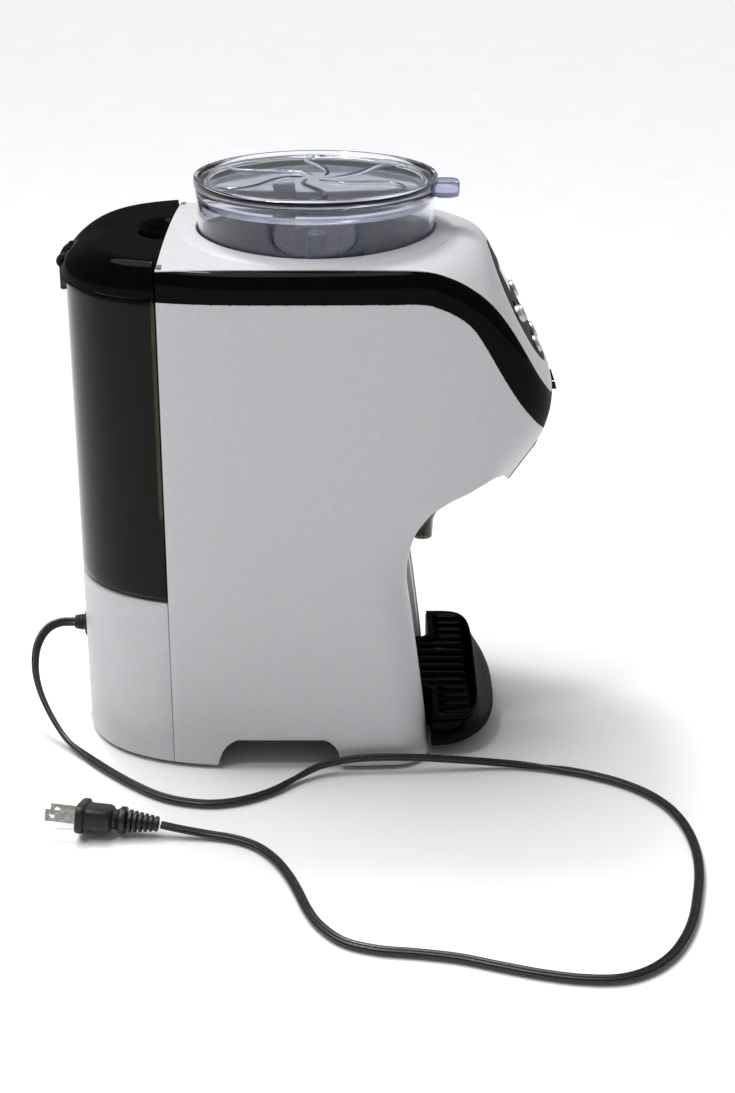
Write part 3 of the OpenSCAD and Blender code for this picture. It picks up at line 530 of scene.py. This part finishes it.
# ---- Column front, bay and underside ------------------------------------
# One white inner moulding closes the column in front: it wraps round the
# bottle bay and runs forward under the head, behind the side panels' edges.
lip_edge = np.vstack([lower[:, -1], upper[0, len(ys):len(ys) + 25]]) - np.array([0.4, 0, 0])
lip_edge[:, 1] += 0.9
turn_in = np.linspace(0, 1, 7)
slip = []
for e in lip_edge:
    off = np.clip(e[1] + 68, -39, 39)
    bay_x = np.sqrt(1600 - off ** 2) if e[2] < 164 else 44.2
    lift = 1.5 * turn_in[:, None] * (e[2] > 159) * np.array([0, 0, 1])
    strip = e + (np.array([bay_x, e[1], e[2]]) - e) * turn_in[:, None] + lift
    a = np.arctan2(off, bay_x if e[2] < 164 else 37)
    a = np.linspace(a, np.pi - a, 49)
    wall_pts = np.stack([40 * np.cos(a), -68 + 40 * np.sin(a), np.full(49, e[2])], -1)
    slip.append(np.vstack([strip, wall_pts[1:-1], (strip * [-1, 1, 1])[::-1]]))
slip = np.stack(slip)
bay_keep = np.ones((len(slip) - 1, slip.shape[1] - 1), bool)
bay_keep[lip_edge[1:, 2] > 163.5, 6:-6] = False
build("column_front", [slip], WHITE, "body", inside=(0, 60, 90), wall=1.8, soft=0.4, angle=30,
      keep=[bay_keep], stands_for=["front_panel"], weld=1e-5)


# ---- Water tank and its lid ---------------------------------------------
# The tank is one deep box of smoked polycarbonate that lifts off the back, with
# a valve in its floor. Its domed lid is glossy black and tips back on a pin.
def tank_loop(i, z, n=96):
    """Level ring of the tank, i mm in from its outside: the rear oval from one end
    of the flat front wall to the other, then the wall."""
    start = float(angle_of(np.array(80.6 + i), rear=117.0 - i))
    a = np.linspace(start, -np.pi - start, n)
    x, y = outline(a, i)
    x, y = x[::-1], y[::-1]
    front = np.linspace(x[-1], x[0], 40)[1:]
    x, y = np.append(x, front), np.append(y, np.full(39, 80.6 + i))
    return np.stack([x, y, np.full(len(x), z)], -1)


def shrunk(ring_pts, f):
    """A ring drawn towards the middle of the tank by the share f."""
    return ring_pts * [f, f, 1] + np.array([0, 104, 0]) * (1 - f) * np.array([1, 1, 0])


tank = np.stack([shrunk(tank_loop(3, 104.6), f) for f in (0, 0.12, 0.3, 0.6, 0.9)]
                + [tank_loop(3, 104.6), tank_loop(1.4, 105), tank_loop(0.4, 106), tank_loop(0, 108)]
                + [tank_loop(0, z) for z in np.linspace(112, 276, 42)]
                + [tank_loop(0, 278.6), tank_loop(0.4, 279.4), tank_loop(1.1, 279.6),
                   tank_loop(1.9, 279.4), tank_loop(2.2, 278.8)]
                + [tank_loop(2.2, z) for z in np.linspace(270, 112, 20)]
                + [tank_loop(2.6, 108.6), tank_loop(4, 107)]
                + [shrunk(tank_loop(4, 107), f) for f in (0.9, 0.6, 0.3, 0.12, 0)])
# Smoked polycarbonate: dark olive brown, deep gloss, with the faint vertical
# drag lines of a deep moulding.
SMOKE = finish("smoked_polycarbonate_gloss", "3A3727", "312E20", 0.05, 9, 0.0, 0.3, IOR=1.25,
               Specular_IOR_Level=0.15, Transmission_Weight=0.93)
build("tank_shell", [tank[:, ::-1]], SMOKE, "tank", stands_for=["water_tank"])


def bar(x0, x1, y0, y1, z0, z1, r=0.5, n=8):
    """Closed rounded block: level superellipse rings of squareness 8 between two
    heights, the end rings drawn in by r."""
    a, b = (x1 - x0) / 2, (y1 - y0) / 2
    g = loft([(0, 0, z0, n), (a - r, b - r, z0, n), (a, b, z0 + r, n), (a, b, z1 - r, n),
              (a - r, b - r, z1, n), (0, 0, z1, n)], 32, n)
    return g + np.array([(x0 + x1) / 2, (y0 + y1) / 2, 0])


def pole(p, q, r, n=24, cap=0.3):
    """Closed round bar of radius r from p to q, its ends eased by cap."""
    p, q = np.array(p, float), np.array(q, float)
    w = (q - p) / np.linalg.norm(q - p)
    u = np.cross(w, [0.3, 0.7, 0.2] if abs(w[2]) > 0.9 else [0, 0, 1])
    u /= np.linalg.norm(u)
    v = np.cross(w, u)
    t = np.linspace(0, 2 * np.pi, n + 1)[:, None]
    circle = np.cos(t) * u + np.sin(t) * v
    rows = [(p, 0), (p, r - cap), (p + w * cap, r), (q - w * cap, r), (q, r - cap), (q, 0)]
    return np.stack([c + circle * k for c, k in rows])


lugs = [g for x in (-13, 8) for g in (bar(x, x + 5, 134.6, 140.9, 268, 284.4),
        pole((x, 138.4, 284.2), (x + 5, 138.4, 284.2), 4, 40))]
cage = [pole((11 * np.cos(a), 104 + 11 * np.sin(a), 106.8), (11 * np.cos(a), 104 + 11 * np.sin(a), 124.4), 1.3)
        for a in np.radians([30, 150, 270])]
guide = turned([(2.4, 124), (12.4, 124), (12.6, 124.2), (12.6, 125.8), (12.4, 126), (2.4, 126),
                (2.3, 125.8), (2.3, 124.2), (2.4, 124)], (0, 104), 48)
build("tank_fittings", lugs + cage + [guide, pole((46, 102, 106.8), (46, 102, 214), 2)], SMOKE, "tank")

# Lid: half oval; it rises as an ellipse over its last 32 mm at the back and 11 mm
# at the sides, and dips into a finger scoop at the seam.
a = np.linspace(float(angle_of(np.array(80.6), rear=119.5)), 0, 3)[0]
a = np.linspace(a, -np.pi - a, 129)
ox, oy = outline(a, 0, rear=119.5)
out_dir = np.stack([ox, oy - 80.6], -1)
reach_out = np.linalg.norm(out_dir, axis=1)
bearing = np.arctan2(out_dir[:, 1], out_dir[:, 0])
soft_w = 11 + 21.5 * np.abs(np.sin(bearing)) ** 2.2
r0 = 1 - soft_w / reach_out
q = np.concatenate([np.linspace(0, 1, 26), 1 + np.sin(np.linspace(0, np.pi / 2, 26))[1:]])
lid_rows = []
for v in q:
    f = r0 * v if v <= 1 else r0 + (1 - r0) * (v - 1)
    w = max(v - 1, 0)
    lid_rows.append(np.stack([ox * f, 80.6 + (oy - 80.6) * f,
                              np.full(129, 281.6) + 18.6 * np.sqrt(max(1 - w ** 2, 0))], -1))
rim = [(1.0, 281.2), (1.006, 280.9), (1.007, 280.3), (0.995, 279.95), (0.97, 280.0)]
lid_rows += [np.stack([ox * f, 80.6 + (oy - 80.6) * f, np.full(129, z)], -1) for f, z in rim]
dome = np.stack(lid_rows)
scoop = np.hypot(dome[..., 0] / 27, (dome[..., 1] - 80.6) / 17.5)
dome[..., 2] -= np.where(dome[..., 2] > 286, 12.2 * (1 - ease((scoop - 0.55) / 0.45)), 0)
# Gloss black ABS with a soft yellow-green room tint left to the reflections.
build("tank_cap", [dome], PIANO, "tank_lid", inside=(0, 95, 260), wall=2.2, angle=40,
      stands_for=["tank_lid"], weld=1e-5)
face_x = np.concatenate([ox[:1] * q[::-1, None].max() * 0 + ox[0] * np.linspace(1, 0, 60)[:, None],
                         ox[-1] * np.linspace(0, 1, 60)[1:, None]])[:, 0]
top_z = np.interp(np.abs(face_x), *(lambda k: (dome[k, 0, 0][np.argsort(dome[k, 0, 0])],
                  dome[k, 0, 2][np.argsort(dome[k, 0, 0])]))(np.arange(51)))
curtain = np.stack([np.stack([face_x, np.full_like(face_x, 80.65), top_z + (280.1 - top_z) * s], -1)
                    for s in np.linspace(0.02, 1, 12)])
knuckle = [pole((-7.4, 138.4, 284.2), (7.4, 138.4, 284.2), 3.9, 40), bar(-7.4, 7.4, 122, 137.5, 283.4, 291.4)]
build("tank_cap_edge", [curtain], PIANO, "tank_lid", inside=(0, 100, 285), wall=1.6)
build("tank_cap_hinge", knuckle, PIANO, "tank_lid")


# ---- Powder container ---------------------------------------------------
# A clear polycarbonate drum that drops into the deck, with a thick ring at its
# mouth and a loose clear lid with swept stiffening ribs.
drum = turned([(0, 238.2), (8.2, 238.2), (30, 238.2), (62, 238.2), (65, 238.5), (66.5, 240), (66.8, 242),
               (66.8, 300), (66.8, 319.4), (67.4, 320.4), (67.6, 321.2), (67.6, 324.2), (67.3, 324.9),
               (66.2, 325), (65, 324.8), (64.6, 324.2), (64.6, 300), (64.6, 244), (64.2, 241.8),
               (62.5, 240.8), (30, 240.6), (8.2, 240.6), (0, 240.6)], (0, -4), 144)
# Water-clear polycarbonate: nearly colourless, violet only through its thick rims.
CLEAR = finish("clear_polycarbonate_gloss", "F3F4FA", "EAECF6", 0.03, 12, 0.004, 0.3, IOR=1.58,
               Transmission_Weight=1.0)
build("powder_drum", [drum], CLEAR, "container", stands_for=["powder_container"])
cap = turned([(0, 327.0), (30, 326.9), (58, 326.6), (61.2, 326.2), (61.8, 325.2), (61.8, 318), (62.2, 317.2),
              (63.8, 317.2), (64.2, 318), (64.2, 325.6), (66.5, 325.5), (68.0, 325.7), (68.5, 326.4),
              (68.5, 330.0), (68.2, 330.8), (67.2, 331), (66.1, 330.8), (65.6, 330), (65.2, 329),
              (63.4, 328.6), (50, 328.7), (25, 328.9), (0, 329)], (0, -4), 144)
build("clear_cap", [cap], CLEAR, "container_lid", stands_for=["container_lid"])
swirl = []
for k in range(6):
    t = np.linspace(0, 1, 40)
    rr, aa = 7 + 54 * t, np.radians(60 * k + 18) + 1.25 * np.sin(t * np.pi * 0.62) - 0.5 * t
    mid_line = np.stack([rr * np.cos(aa), -4 + rr * np.sin(aa), 328.7 + 0 * t], -1)
    d = np.gradient(mid_line, axis=0)
    d /= np.linalg.norm(d, axis=1, keepdims=True)
    s = np.cross(d, [0, 0, 1])
    grow = (np.sin(np.pi * np.clip(t, 0.015, 0.985)) ** 0.35)[:, None]
    b = np.linspace(0, np.pi, 11)
    swirl.append(np.stack([mid_line + s * 1.7 * np.cos(c) * grow + np.array([0, 0, 1.9]) * np.sin(c) * grow
                           for c in b], 1))
build("cap_ribs", swirl, CLEAR, "container_lid", inside=(0, -4, 310))
# The pull tab at the front of the lid.
# Edge-lit polycarbonate: the long path through the rim gives a lavender cast.
VIOLET = finish("tinted_rim_polycarbonate", "C9CCE8", "B9BDDD", 0.06, 8, 0.006, 0.3, IOR=1.58,
                Transmission_Weight=0.9)
tab = loft([(0, 0, 319), (8, 6.4, 319, 3), (9.4, 7.6, 319.6, 3), (9.8, 8, 321, 3), (9.8, 8, 326.2, 3),
            (9.3, 7.4, 327.1, 3), (8, 6.2, 327.4, 3), (0, 0, 327.4)], 48) + np.array([0, -76.8, 0])
band_ring = turned([(62.6, 319.5), (64.3, 319.4), (64.3, 323.6), (62.6, 323.5), (62.6, 319.5)], (0, -4), 144)
build("cap_tab", [tab], VIOLET, "container_lid")

# The dark block over the outlet, a rounded soft-edged hood.
hood = loft([(0, 0, 249), (14.4, 18.4, 249, 4), (15, 19, 249.8, 4), (15, 19, 262, 4), (14.4, 18.2, 265.6, 4),
             (12.6, 16.4, 267.6, 4), (9, 12, 268, 4), (0, 0, 268, 4)], 64) + np.array([0, -46, 0])
DARK = finish("dark_grey_abs", "35373C", "2B2D31", 0.38, 2.4, 0.02, 0.2)
build("outlet_hood", [hood], DARK, "container", stands_for=["outlet_block"])
# Stirrer arms, moulded in navy nylon: slightly waxy, with a soft broad sheen.
NAVY = finish("navy_nylon_satin", "16256B", "101C52", 0.42, 2.0, 0.01, 0.2)
arms = [turned([(0, 248.8), (5.6, 248.8), (6, 249.4), (6, 296), (5.2, 298.8), (3.2, 300), (0, 300.2)], (0, -4), 48)]
for g in np.radians([20, 200]):
    m = np.array([[np.cos(g), np.sin(g), 0], [-np.sin(g), np.cos(g), 0], [0, 0, 1]])
    for block in (bar(4, 60.8, -3, 3, 273, 278, 0.8, 6), bar(58.6, 61, -7, 7, 273.4, 312, 0.7, 6),
                  bar(28, 30.4, -5, 5, 277, 296, 0.7, 6)):
        arms.append(block @ m + np.array([0, -4, 0]))
build("stirrer_arms", arms, NAVY, "agitator", stands_for=["stirrer"])


# ---- Control panel ------------------------------------------------------
# A smoked acrylic oval let into the slope, printed on its back, with a small
# display window and five sprung silver keys.
rad, ang = np.linspace(0, 1, 24)[:, None], np.linspace(0, 2 * np.pi, 121)[None]


def on_slope(u, v):
    """Points of the crowned slope: u mm across and v mm up it from the panel's middle."""
    return crown(u, np.interp(mid_run - v, run, steps))


def slope_piece(u, v, depth):
    """The slope's surface over a grid (u, v), sunk by depth along its normal."""
    return on_slope(u, v) + np.array([0, 0.891, -0.454]) * np.asarray(depth)[..., None]


edge_drop = 0.25 + 0.9 * np.clip((rad - 0.955) / 0.045, 0, 1) ** 2 + 0 * ang
flat_u, flat_v = PANEL_A * rad * np.cos(ang), PANEL_B * rad * np.sin(ang)
key_places = {"power": (-27, 2), "volume": (-14, -22), "warmth": (14, -22), "formula": (27, 2),
              "start": (0, -6)}
face_keep = np.ones((len(rad) - 1, ang.shape[1] - 1), bool)
for kx, kv in key_places.values():
    far = np.hypot(flat_u - kx, flat_v - kv)
    centre = (far[:-1, :-1] + far[1:, 1:] + far[1:, :-1] + far[:-1, 1:]) / 4
    gone = centre < 5.5
    face_keep &= ~gone
    # the points round each hole move out or in to its 5.6 mm circle
    touched = np.zeros(far.shape, bool)
    for a, b in ((0, 0), (0, 1), (1, 0), (1, 1)):
        touched[a:a + gone.shape[0], b:b + gone.shape[1]] |= gone
    pull = np.where(touched & (far > 3.5), 5.6 / np.maximum(far, 0.1), 1)
    flat_u, flat_v = kx + (flat_u - kx) * pull, kv + (flat_v - kv) * pull
oval = slope_piece(flat_u, flat_v, edge_drop)
side_wall = slope_piece(PANEL_A * np.cos(ang) + 0 * rad[:3], PANEL_B * np.sin(ang) + 0 * rad[:3],
                        np.array([1.15, 1.6, 2.4])[:, None] + 0 * ang)
ACRYLIC = finish("smoked_acrylic", "2A2B2D", "1E1F21", 0.12, 7, 0.003, 0.3,
                 Specular_IOR_Level=0.0, Coat_Weight=0.1, Coat_Roughness=0.05)
build("panel_face", [oval, side_wall[1:]], ACRYLIC, "body", inside=(0, -60, 220), angle=50,
      keep=[face_keep, None],
      stands_for=["control_panel"], weld=1e-5)
u, v = np.meshgrid(np.linspace(-17, 17, 24), np.linspace(9, 25, 12))
glass = slope_piece(u, v, 0.12 + 0.5 * (np.maximum(np.abs(u) / 17, np.abs(v - 17) / 8) > 0.99))
# Display glass over a dim segment field: near black with a cool depth.
GLASS = finish("display_glass", "0B0F12", "06090B", 0.04, 5, 0.002, 0.3, Coat_Weight=0.7)
build("display_pane", [glass], GLASS, "body", inside=(0, -60, 220), wall=0.7, angle=50,
      stands_for=["display_window"])
# Satin silver lacquer over ABS: fine metallic grain.
SILVER = finish("silver_lacquer", "C6C8CB", "B2B4B8", 0.28, 0.8, 0.01, 0.25, Metallic=0.75)
lean = np.array([[1, 0, 0], [0, 0.454, 0.891], [0, -0.891, 0.454]])
for word, (kx, kv) in key_places.items():
    key = turned([(0, -3.6), (1.9, -3.6), (2, -3.4), (2, -2.4), (5.0, -2.4), (5.2, -2.2), (5.2, 0.1),
                  (5.0, 0.42), (4.5, 0.55), (3.6, 0.4), (2.0, 0.15), (0, 0.1)], (kx, kv), 48)
    build(f"{word}_key", [key @ lean + np.array([0, -120.2, 256.5])], SILVER, f"key_{word}",
          stands_for=[f"key_{word}"])


# ---- Funnel drawer ------------------------------------------------------
# A grey tray that slides out under the head and carries the clear mixing
# funnel. Its front is a smoked strip that closes the chin.
th_d = np.arccos(np.sign(g := np.linspace(40.7, -40.7, 41)) * np.abs(g / 88) ** 1.7)
zd = np.concatenate([[163.9], np.linspace(164.5, 185.6, 16), [186.2]])
front = np.stack([on_plan(th_d, z) for z in zd]) - np.array([0, 0.7, 0])
front[0, :, 1] += 0.6
front[-1, :, 1] += 0.6
build("drawer_face", [front], SMOKE, "drawer", inside=(0, -60, 200), wall=2.2, soft=0.4,
      stands_for=["drawer_front"])
cone = turned([(4.6, 112.4), (5.0, 112), (5.7, 112.1), (6, 112.6), (6.6, 124), (15, 143), (25, 164),
               (25.8, 166.2), (31, 175.6), (36, 184), (36, 185.2), (35.7, 185.6), (34.7, 185.6),
               (34.3, 185.2), (34.2, 184.2), (29, 175.4), (24, 166.2), (14, 144.6), (5.2, 125), (4.6, 112.4)],
              (0, -66), 96)
# Smoke-tinted copolyester of the funnel and its spout.
TINTED = finish("smoke_tinted_copolyester", "6E6656", "5A5345", 0.08, 5, 0.006, 0.3, IOR=1.57,
                Transmission_Weight=0.7)
build("mixing_funnel", [cone], TINTED, "drawer", stands_for=["funnel"])


# ---- Drip tray ----------------------------------------------------------
# A glossy black basin as wide as the machine that draws out forwards, and the
# slatted grid that lifts out of it.
def tray_loop(i, z, a, f, n):
    """Level ring of the tray, i mm in: the front is a superellipse of half width a
    reaching f with squareness n, the back is the round tongue in the bay."""
    t = np.linspace(np.pi, 2 * np.pi, 97)
    c, s = np.cos(t), np.sin(t)
    x = (a - i) * np.sign(c) * np.abs(c) ** (2 / n)
    y = -70.9 - i * 0.6 + (f - 70.9 - i * 0.6) * np.sign(s) * np.abs(s) ** (2 / n)
    r = 37 - i
    b = np.linspace(0, np.pi, 49)
    back_y = -70.9 - i * 0.6
    gap = np.linspace(x[-1], r, 12)[1:-1]
    x = np.concatenate([x, gap, r * np.cos(b), -gap[::-1], x[:1]])
    y = np.concatenate([y, np.full(10, back_y), -68 + r * np.sin(b), np.full(10, back_y), y[:1]])
    return np.stack([x, y, np.full(len(x), z)], -1)


def flat_fill(loop_pts, steps_in=(0.75, 0.5, 0.25, 0)):
    """Rings that close a level loop towards the point (0, -72)."""
    return [loop_pts * [f, f, 1] + np.array([0, -72, 0]) * (1 - f) for f in steps_in]


bottom = tray_loop(0, 3.8, 60, 98, 2.3)
stack = [(0, 3.8, 60, 98, 2.3), (0, 4.2, 63, 101, 2.3), (0, 5.6, 67.5, 105.2, 2.35), (0, 7.6, 71, 108.6, 2.4),
         (0, 10, 73.4, 110.2, 2.5), (0, 12.6, 74.8, 110.2, 2.7), (0, 15, 75.5, 108.6, 3), (0, 18, 75.8, 105.4, 3.5),
         (0, 21, 75.9, 102.2, 4.1), (0, 24, 76, 100, 4.7), (0, 25.4, 76, 99.3, 5), (0.5, 26, 76, 99, 5),
         (2.2, 26, 76, 99, 5), (2.8, 25.4, 76, 99, 5), (3.2, 22, 75, 98.6, 4.6), (5, 14, 73, 99.4, 3.4),
         (8, 8.4, 71, 100, 2.8), (12, 6.4, 70, 100, 2.6)]
basin = np.stack(flat_fill(bottom)[::-1] + [tray_loop(*k) for k in stack]
                 + flat_fill(tray_loop(*stack[-1])))
build("tray_basin", [basin], PIANO, "tray", angle=40, stands_for=["drip_tray"],
      weld=1e-5)
# Grid: a frame with a soft rim, and rounded slats 10.5 mm apart along Y.
frame_rows = [tray_loop(*k) for k in ((2.4, 22.4, 75, 98.4, 5), (1.0, 26.4, 76, 99, 5), (0.5, 27.2, 76, 99, 5),
              (0.8, 28.2, 76, 99, 5), (1.8, 28.5, 76, 99, 5), (6.8, 28.4, 76, 99, 5), (7.3, 27.9, 76, 99, 5),
              (7.4, 26.6, 76, 99, 5), (7.0, 26.2, 76, 99, 5), (4.4, 26.0, 75, 98.4, 5), (4.2, 22.4, 75, 98.4, 5),
              (2.4, 22.4, 75, 98.4, 5))]
slats = []
for k in range(-7, 7):
    x = 10.5 * k + 5.25
    back = -68 + np.sqrt(max(30 ** 2 - x ** 2, 0)) if abs(x) < 29 else -77.5
    slats.append(bar(x - 2.75, x + 2.75, -93.4 if abs(x) < 60 else -91, back, 26.4, 28.3, 0.9, 5))
build("grid_slats", [np.stack(frame_rows)] + slats, PIANO, "grid", angle=50, stands_for=["drip_grid"])


# ---- Feet, switch and the inside ----------------------------------------
# Bought-in and hidden pieces keep their turned and pressed shapes, and each
# takes the finish of its real material.
pads = [turned([(0, 0.0), (5.6, 0.0), (6.8, 0.2), (7.4, 0.9), (7.5, 1.8), (7.4, 2.7), (6.9, 2.9), (0, 2.9)],
               (x, y), 48) for x in (-64, 64) for y in (-34, 92)]
build("foot_pads", pads, RUBBER, "body", stands_for=["rubber_feet"])
GREY = finish("grey_abs_matt", "6A6C70", "5D5F63", 0.5, 2.6, 0.03, 0.2)
ACETAL = finish("natural_acetal_satin", "E6E3DA", "DBD7CC", 0.35, 3, 0.01, 0.2, Subsurface_Weight=0.1)
SILICONE = finish("silicone_tube", "E4E4E0", "D6D6D1", 0.42, 2, 0.02, 0.2, Transmission_Weight=0.35)
BOARD = finish("green_solder_mask", "1C5A38", "154A2D", 0.3, 1.6, 0.03, 0.3, Coat_Weight=0.3)
ZINC = finish("zinc_plated_steel", "B9BBBE", "9EA0A4", 0.34, 2.2, 0.02, 0.35, Metallic=1.0)
MOTOR = finish("enamelled_steel", "4A4D52", "3E4145", 0.45, 1.8, 0.03, 0.2, Metallic=0.3)
GRIP = finish("black_abs_fine_texture", "191A1C", "121314", 0.5, 0.7, 0.03, 0.2)
finishes = {
    "grey_abs": GREY, "natural_acetal": ACETAL, "silicone_hose": SILICONE, "circuit_board": BOARD,
    "zinc_steel": ZINC, "motor_paint": MOTOR, "black_rubber": RUBBER, "clear_polycarbonate": CLEAR,
    "smoked_polycarbonate": SMOKE, "piano_black": PIANO, "white_abs": WHITE, "dark_block": DARK,
    "nickel_blade": NICKEL, "navy_nylon": NAVY, "key_silver": SILVER, "panel_acrylic": ACRYLIC,
    "cord_pvc": PVC}
for part in frame["record"]["subparts"]:
    name, slot_name = part.get("node") or part.get("name"), part.get("material_slot")
    if name in frame["nodes"] and slot_name in finishes:
        mats = frame["nodes"][name].data.materials
        for k in range(len(mats)):
            mats[k] = finishes[slot_name]
# Painted shade: the hopper well sits in a recess under the container, so it gets a pale grey, darker than the white
# deck, to stand in for the shade in that recess.
WELL_PAINTED_SHADE = finish("painted_shade_hopper_well", "B4B5B8", "AEAFB2", 0.45, 3, 0.01, 0.2)
frame["nodes"]["hopper_well"].data.materials[0] = WELL_PAINTED_SHADE
for name in ("power_switch", "switch_frame"):
    frame["nodes"][name].data.materials[0] = GRIP
